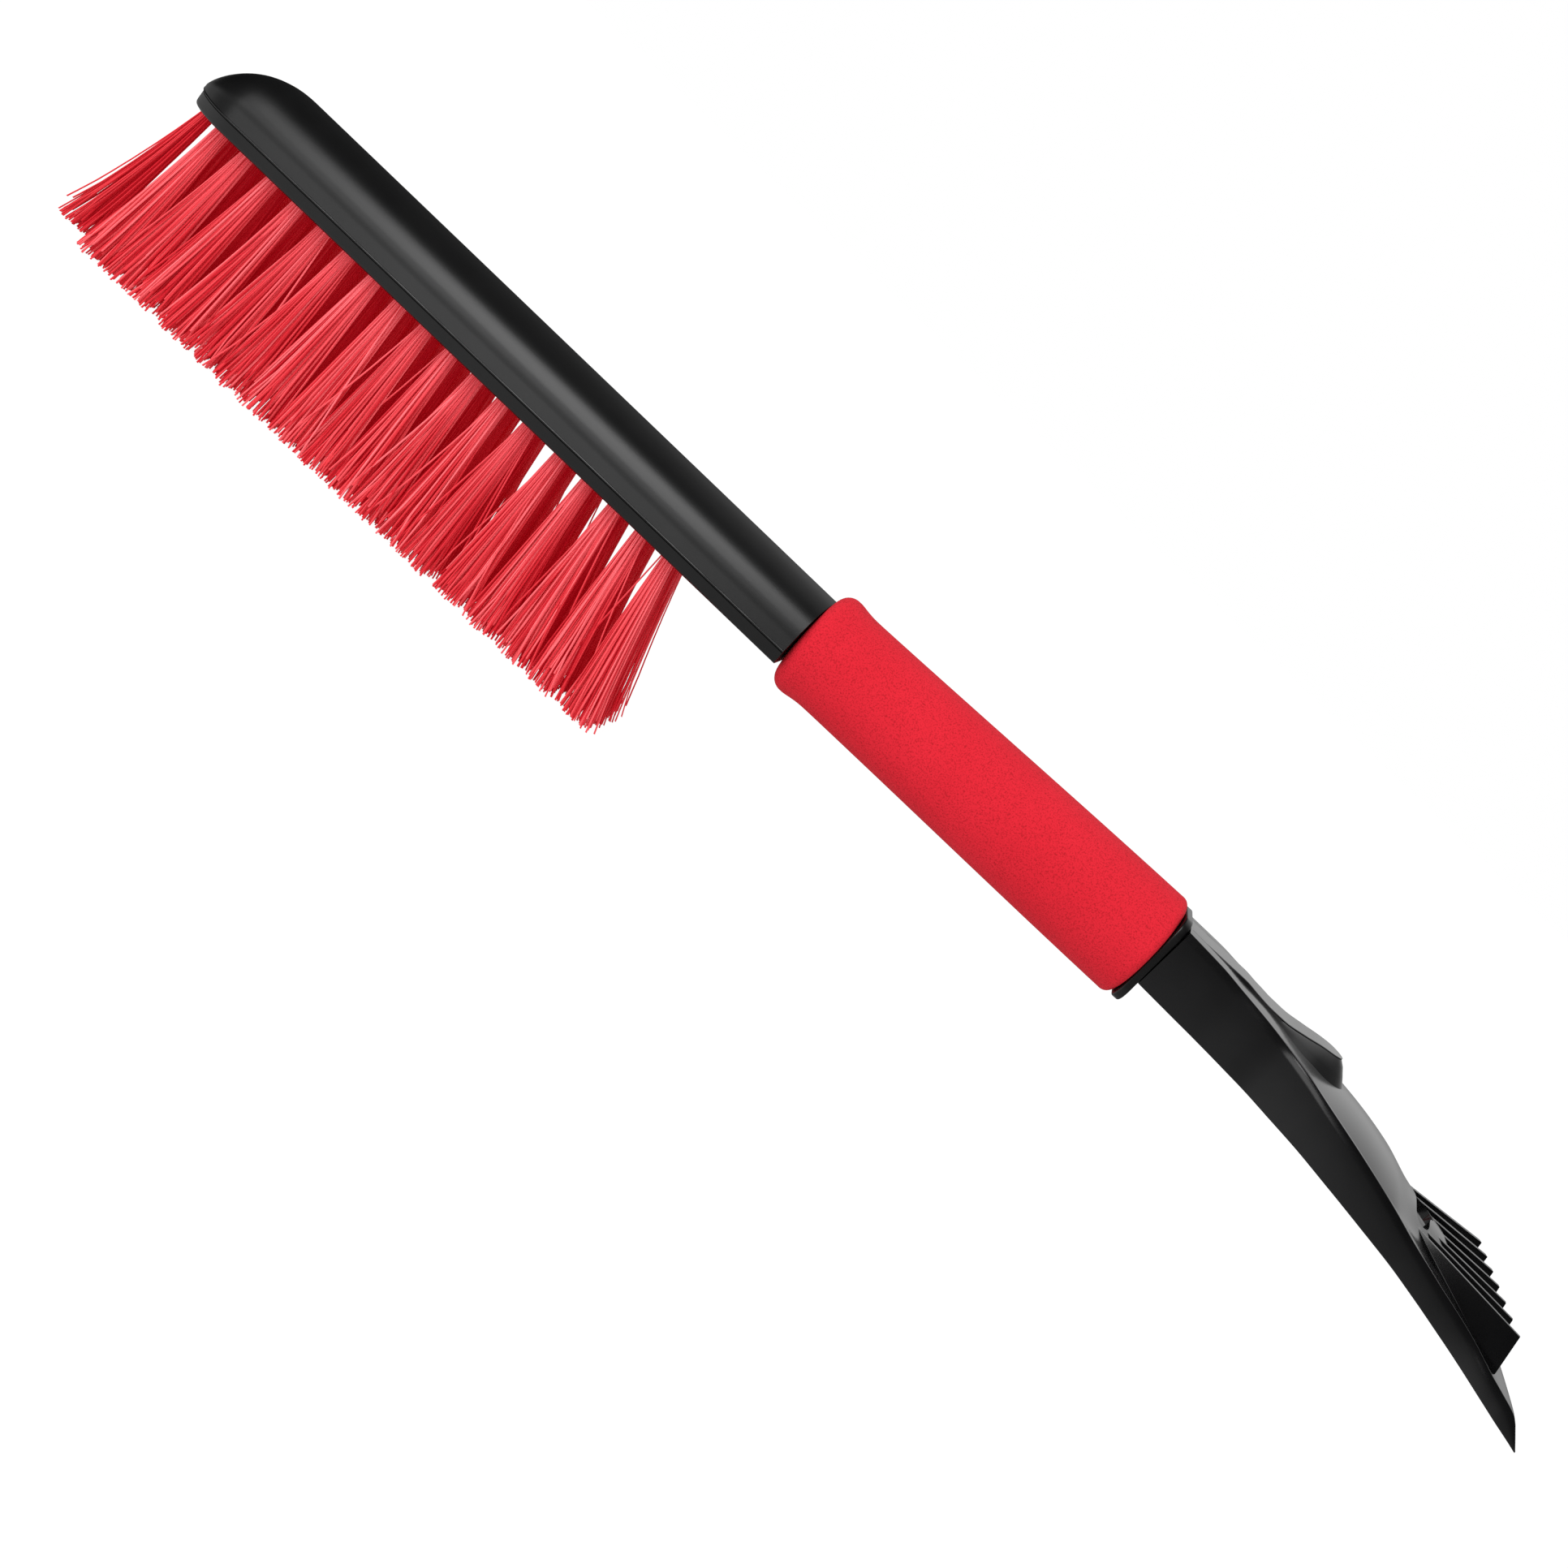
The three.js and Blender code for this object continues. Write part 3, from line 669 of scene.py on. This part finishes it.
def collar_ring(material):
    """The collar: a thin plate with rounded edges and a bore for the tenon."""
    start, edge, steps = GRIP_LENGTH + GAP, 0.6, 5
    levels = []
    for i in range(steps + 1):
        turn = i / steps * math.pi / 2
        levels.append((start + edge * (1 - math.cos(turn)), edge * (1 - math.sin(turn))))
    levels += [(2 * start + COLLAR_THICK - along, inset) for along, inset in reversed(levels)]
    rings = [
        [on_grip_axis(along, math.hypot(y, z), math.atan2(y, z)) for y, z in collar_outline(inset)]
        for along, inset in levels
    ]
    collar = outward(mesh_object("collar_ring", *skin(rings)))
    bore = rod("collar_bore", [(start - 1, TENON_R + GAP), (start + COLLAR_THICK + 1, TENON_R + GAP)])
    return dress(shade(cut(collar, bore), 40), "collar_plastic", material, "grip_collar")


# ---- the scraper head ---------------------------------------------------------------------------
HEAD_CURVES = [curve([(row[0], row[k]) for row in STATIONS]) for k in range(1, 8)]


def over_flank(station, half, y):
    """How far the plate stands above its flank at y: the crown and the climb to the side edge."""
    _, _, edge, flank, crest, crown, bell = station
    across = min(1.0, abs(y) / crown)
    climb = smooth(abs(y), half - EDGE_ACROSS - RIM_WIDTH, half)
    return (crest - flank) * (1 - across ** 2) ** bell + (edge - flank) * climb


def plate(x, y):
    """Height of the plate's top."""
    station = [at(x) for at in HEAD_CURVES]
    return station[3] + over_flank(station, station[0], y)


def bowed(x, y):
    """The blade's front is a shallow bow, which fades out towards the neck."""
    return x - FRONT_BOW * smooth(x, 470, 495) * (y / BLADE_HALF) ** 2


def head_ring(x, inset=0.0, deeper=0.0):
    """One section of the head: a foot radius, flat sides, rounded upper edges and a crowned top."""
    station = [at(x) for at in HEAD_CURVES]
    half, under, top = station[0] - inset, station[1] - deeper, station[2] - inset
    down = min(EDGE_DOWN, (top - under) * 0.5)
    across_edge = EDGE_ACROSS * down / EDGE_DOWN
    foot = min(0.5, (top - under) * 0.2)
    side = [(half - foot, under)]
    for i in range(1, 4):
        turn = i / 3 * math.pi / 2
        side.append((half - foot + foot * math.sin(turn), under + foot * (1 - math.cos(turn))))
    for i in range(11):
        turn = i / 10 * math.pi / 2
        side.append((half - across_edge * (1 - math.cos(turn)), top - down * (1 - math.sin(turn))))
    flat = half - across_edge
    rim = flat - RIM_WIDTH
    across = [mix(flat, rim, i / 8) for i in range(1, 9)] + [rim * (1 - i / 24) for i in range(1, 24)]
    side += [(y, station[3] - inset + over_flank(station, half, y)) for y in across]
    points = side + [(0.0, station[4] - inset)] + [(-y, z) for y, z in reversed(side)]
    return [(bowed(x, y), y, z + LIFT) for y, z in points]


def fin(tip_y):
    """One fin of the fan: an upright plate, a little thinner towards its top, with softened edges."""
    slope = tip_y / (FIN_TIP - FAN_CENTRE)
    # The fin begins where the plate has come down to the level of its top.
    start = 445.0
    while plate(start, slope * (start - FAN_CENTRE)) > FIN_TOP:
        start += 0.1
    outline = [(start - 2, FIN_TOP - 0.1), (start, FIN_TOP), (FIN_TIP, FIN_TOP + FIN_RISE)]
    foot = plate(FIN_FOOT, slope * (FIN_FOOT - FAN_CENTRE))
    outline += [(FIN_FOOT, foot), (FIN_FOOT, foot - FIN_SUNK)]
    for i in range(1, 10):
        x = mix(FIN_FOOT, start - 1, i / 10)
        outline.append((x, plate(x, slope * (x - FAN_CENTRE)) - FIN_SUNK))
    across = Vector((-slope, 1, 0)).normalized()
    points = []
    for side in (-1, 1):
        for x, z in outline:
            thin = FIN_THICK / 2 - FIN_TAPER * (z / FIN_TOP)
            middle = Vector((x, slope * (x - FAN_CENTRE), z + LIFT))
            points.append(middle + side * thin * across)
    n = len(outline)
    faces = [tuple(range(n)), tuple(reversed(range(n, 2 * n)))]
    faces += [(i, i + n, (i + 1) % n + n, (i + 1) % n) for i in range(n)]
    obj = outward(mesh_object("fin", points, faces))
    bm = bmesh.new()
    bm.from_mesh(obj.data)
    bmesh.ops.bevel(bm, geom=bm.edges[:], offset=FIN_SOFT * MM, segments=2, affect="EDGES", profile=0.5)
    bm.to_mesh(obj.data)
    bm.free()
    return obj


def boat_outline(widths, nose_r, nose_power, sides=44, nose_sides=22):
    """A plan outline: along the left side, round the nose and back along the right side."""
    rear, nose_x = widths[0][0], widths[-1][0]
    width = curve(widths)
    left = [(x, -width(x)) for x in (mix(rear, nose_x, i / sides) for i in range(sides))]
    nose = []
    for i in range(nose_sides + 1):
        turn = -math.pi / 2 + math.pi * i / nose_sides
        reach = abs(math.sin(turn)) ** nose_power
        nose.append((nose_x + nose_r * math.cos(turn), math.copysign(widths[-1][1] * reach, turn)))
    return left + nose + [(x, -y) for x, y in reversed(left)]


def thumb_rest():
    """The saddle for the thumb: a crisp edge, flared sides and a steep rounded front."""
    edge = curve(THUMB_EDGE)
    top, foot = boat_outline(THUMB_TOP, *THUMB_TOP_NOSE), boat_outline(THUMB_FOOT, *THUMB_FOOT_NOSE)
    # The rings go from the sunk foot up the flared side and over the crisp edge.
    rings = [[(x, y, plate(x, y) + up) for x, y in foot] for up in (-1.6, 0.02)]
    for share, drop in ((0.35, 0.62), (0.7, 0.27)):
        rings.append([
            (mix(fx, tx, share), mix(fy, ty, share), mix(edge(tx), plate(fx, fy), drop))
            for (fx, fy), (tx, ty) in zip(foot, top)
        ])
    for out, down in ((1.0, 0.35), (0.985, 0.12), (0.94, 0.0)):
        rings.append([(x, y * out, edge(x) - down) for x, y in top])
    rings.append([(x, y * 0.9, edge(x)) for x, y in top])
    raised = [[(x, y, z + LIFT) for x, y, z in ring] for ring in rings]
    points, faces = skin(raised, closed_ends=False)
    # The top is closed with strips from side to side, so that it is level across.
    count = len(top)
    faces.append(tuple(reversed(range(count))))
    last = len(points) - count
    for i in range(count // 2):
        across = (i, i + 1, count - 2 - i, count - 1 - i)
        faces.append(tuple(last + k for k in dict.fromkeys(across)))
    return outward(mesh_object("thumb_rest", points, faces))


def window_cutter():
    """A cutter for the window, with eased corners."""
    outline = WINDOW_HALF + [(x, -y) for x, y in reversed(WINDOW_HALF[1:-1])]
    for _ in range(2):
        eased = []
        for a, b in zip(outline, outline[1:] + outline[:1]):
            eased += [tuple(mix(p, q, share) for p, q in zip(a, b)) for share in (0.25, 0.75)]
        outline = eased
    points = [(x, y, z) for z in (-12.0, 30.0) for x, y in outline]
    n = len(outline)
    faces = [tuple(range(n)), tuple(reversed(range(n, 2 * n)))]
    faces += [(i, i + n, (i + 1) % n + n, (i + 1) % n) for i in range(n)]
    return outward(mesh_object("window", points, faces))


def scraper_head(material):
    """The plate with its hollow, thumb rest, fins, window and tenon."""
    spread = [mix(NECK, 484.5, i / 110) for i in range(111)]
    spread += [486.0, 487.5, 489.0, 490.5, 492.0, 493.3, 494.4, 495.0, 495.4, 496.2, 497.5, 500.0]
    spread += [502.0, 502.4]
    head = outward(mesh_object("scraper_blade", *skin([head_ring(x) for x in spread])))
    inner = [mix(CAVITY_START, CAVITY_END, i / 60) for i in range(61)]
    cavity = mesh_object("cavity", *skin([head_ring(x, WALL, CAVITY_BELOW) for x in inner]))
    head = cut(head, outward(cavity))
    head = combined(head, thumb_rest())
    for i in range(FIN_COUNT):
        head = combined(head, fin((i - (FIN_COUNT - 1) / 2) * FIN_TIP_PITCH))
    head = cut(head, window_cutter())
    end = GRIP_LENGTH + GAP + COLLAR_THICK + 6
    head = combined(head, rod("tenon", [(GRIP_LENGTH - TENON_LENGTH, TENON_R), (end, TENON_R)]))
    return dress(shade(head, 35), "scraper_plastic", material, "scraper_head")


def retaining_pin(material):
    """The hidden pin keeps its CAD shape and takes the steel material."""
    node = frame["nodes"]["retaining_pin"]
    node.data.materials.clear()
    node.data.materials.append(material)


# ---- stage --------------------------------------------------------------------------------------
def camera():
    """The camera, pitched down and rolled about the line of sight."""
    eye = to_row(*EYE)
    pitch, roll = math.radians(PITCH), math.radians(ROLL)
    ahead = Vector((0, math.cos(pitch), -math.sin(pitch)))
    level, above = Vector((1, 0, 0)), Vector((0, math.sin(pitch), math.cos(pitch)))
    right = level * math.cos(roll) + above * math.sin(roll)
    up = above * math.cos(roll) - level * math.sin(roll)
    data = bpy.data.cameras.new("camera")
    data.sensor_width = 36
    data.lens = LENS
    data.shift_x, data.shift_y = LENS_SHIFT
    data.clip_start = 0.01
    obj = bpy.data.objects.new("camera", data)
    obj.matrix_world = Matrix((
        (right.x, up.x, -ahead.x, eye.x),
        (right.y, up.y, -ahead.y, eye.y),
        (right.z, up.z, -ahead.z, eye.z),
        (0, 0, 0, 1),
    ))
    bpy.context.scene.collection.objects.link(obj)
    bpy.context.scene.camera = obj


def panel(name, at, aim, size, radiance, **visible):
    """A flat softbox of even brightness that the camera does not see."""
    data = bpy.data.lights.new(name, "AREA")
    data.shape = "RECTANGLE"
    data.size, data.size_y = size
    data.energy = radiance * math.pi * size[0] * size[1]
    obj = bpy.data.objects.new(name, data)
    obj.location = at
    obj.rotation_euler = (Vector(aim) - Vector(at)).to_track_quat("-Z", "Y").to_euler()
    obj.visible_camera = False
    for kind, shown in visible.items():
        setattr(obj, f"visible_{kind}", shown)
    bpy.context.scene.collection.objects.link(obj)


def floor():
    """A white floor that shows only a faint shadow and is not mirrored by the tool."""
    reach = 6.0
    corners = [(-reach, -reach, 0), (reach, -reach, 0), (reach, reach, 0), (-reach, reach, 0)]
    mesh = bpy.data.meshes.new("floor")
    mesh.from_pydata(corners, [], [(0, 1, 2, 3)])
    obj = bpy.data.objects.new("floor", mesh)
    obj.visible_glossy = False
    bpy.context.scene.collection.objects.link(obj)
    material = bpy.data.materials.new("pale_floor")
    material.use_nodes = True
    tree = material.node_tree
    shader = tree.nodes["Principled BSDF"]
    shader.inputs["Base Color"].default_value = (0.8, 0.8, 0.8, 1)
    shader.inputs["Roughness"].default_value = 0.9
    shader.inputs["Specular IOR Level"].default_value = 0.0
    glow = tree.nodes.new("ShaderNodeEmission")
    path = tree.nodes.new("ShaderNodeLightPath")
    blend = tree.nodes.new("ShaderNodeMixShader")
    amount = tree.nodes.new("ShaderNodeMath")
    amount.operation = "MULTIPLY"
    amount.inputs[1].default_value = FLOOR_GLOW
    glow.inputs["Strength"].default_value = FLOOR_WHITE
    tree.links.new(path.outputs["Is Camera Ray"], amount.inputs[0])
    tree.links.new(amount.outputs[0], blend.inputs["Fac"])
    tree.links.new(shader.outputs["BSDF"], blend.inputs[1])
    tree.links.new(glow.outputs["Emission"], blend.inputs[2])
    tree.links.new(blend.outputs["Shader"], tree.nodes["Material Output"].inputs["Surface"])
    mesh.materials.append(material)


def world():
    """A soft studio round the tool: a bright bank in front and above, dark behind, white to the camera."""
    sky = bpy.data.worlds.new("studio")
    sky.use_nodes = True
    tree = sky.node_tree
    nodes, link = tree.nodes, tree.links.new

    def math_node(operation, *values):
        node = nodes.new("ShaderNodeMath")
        node.operation = operation
        for socket, value in zip(node.inputs, values):
            if isinstance(value, bpy.types.NodeSocket):
                link(value, socket)
            else:
                socket.default_value = value
        return node.outputs[0]

    def ramp(value, low, high, stops):
        spread = nodes.new("ShaderNodeMapRange")
        link(value, spread.inputs["Value"])
        spread.inputs["From Min"].default_value = low
        spread.inputs["From Max"].default_value = high
        node = nodes.new("ShaderNodeValToRGB")
        node.color_ramp.interpolation = "B_SPLINE"
        while len(node.color_ramp.elements) < len(stops):
            node.color_ramp.elements.new(0.5)
        for element, (place, grey) in zip(node.color_ramp.elements, stops):
            element.position = (place - low) / (high - low)
            element.color = (grey, grey, grey, 1)
        link(spread.outputs["Result"], node.inputs["Fac"])
        return node.outputs["Color"]

    split = nodes.new("ShaderNodeSeparateXYZ")
    link(nodes.new("ShaderNodeTexCoord").outputs["Generated"], split.inputs["Vector"])
    x, y, z = split.outputs
    around = math_node("DEGREES", math_node("ARCTAN2", z, math_node("MULTIPLY", y, -1)))
    front = math_node("MULTIPLY", ramp(around, -180, 180, ROUND), ramp(x, -1, 1, FRONT_SIDE))
    rear = math_node("MULTIPLY", ramp(around, -180, 180, REAR), ramp(x, -1, 1, REAR_SIDE))
    mirrored = math_node("ADD", front, rear)
    kinds = nodes.new("ShaderNodeLightPath").outputs
    soft = math_node("MULTIPLY", kinds["Is Diffuse Ray"], AMBIENT)
    hard = math_node("MULTIPLY", kinds["Is Glossy Ray"], mirrored)
    lit = math_node("ADD", soft, hard)
    link(math_node("ADD", lit, kinds["Is Camera Ray"]), nodes["Background"].inputs["Strength"])
    nodes["Background"].inputs["Color"].default_value = (1, 1, 1, 1)
    bpy.context.scene.world = sky


def stage():
    """The camera, the floor, the world and the softboxes."""
    camera()
    floor()
    world()
    bpy.context.scene.view_settings.view_transform = "Standard"
    brush = to_row(100, 0, 10)
    # A bright softbox in front of the brush and above it, and a dimmer one at the tool's height.
    panel("key", to_row(-140, -720, 760), brush, (0.54, 0.62), 4.8)
    panel("front", to_row(-190, -900, 215), brush, (0.64, 0.46), 2.0)
    # A fill that lights the colours evenly and is not mirrored.
    middle = to_row(250, 0, 10)
    panel("fill", middle + Vector((0, -1.2, 0.5)), middle, (1.8, 1.2), 0.5, glossy=False)


# ---- assembly -----------------------------------------------------------------------------------
def build():
    """All the pieces of the tool, each with its material."""
    black = (0.0018, 0.0018, 0.0019), (0.003, 0.003, 0.0032)
    handle_plastic = moulded_plastic("satin_black_plastic", *black, (0.31, 0.36), 0.012)
    head_plastic = moulded_plastic("gloss_black_plastic", *black, (0.14, 0.18), 0.004)
    ring_plastic = moulded_plastic(
        "collar_black_plastic", (0.002, 0.002, 0.002), (0.0035, 0.0035, 0.0035), (0.28, 0.34), 0.008,
    )
    brush_handle(handle_plastic)
    nylon = nylon_filament()
    rng = random.Random(7)
    lean = curve(LEAN)
    for name, x, y in tuft_places():
        tuft(name, x, y, lean(x), rng, nylon)
    sleeve = foam_sleeve(foam_rubber())
    collar_ring(ring_plastic)
    scraper_head(head_plastic)
    retaining_pin(steel())


build()
stage()
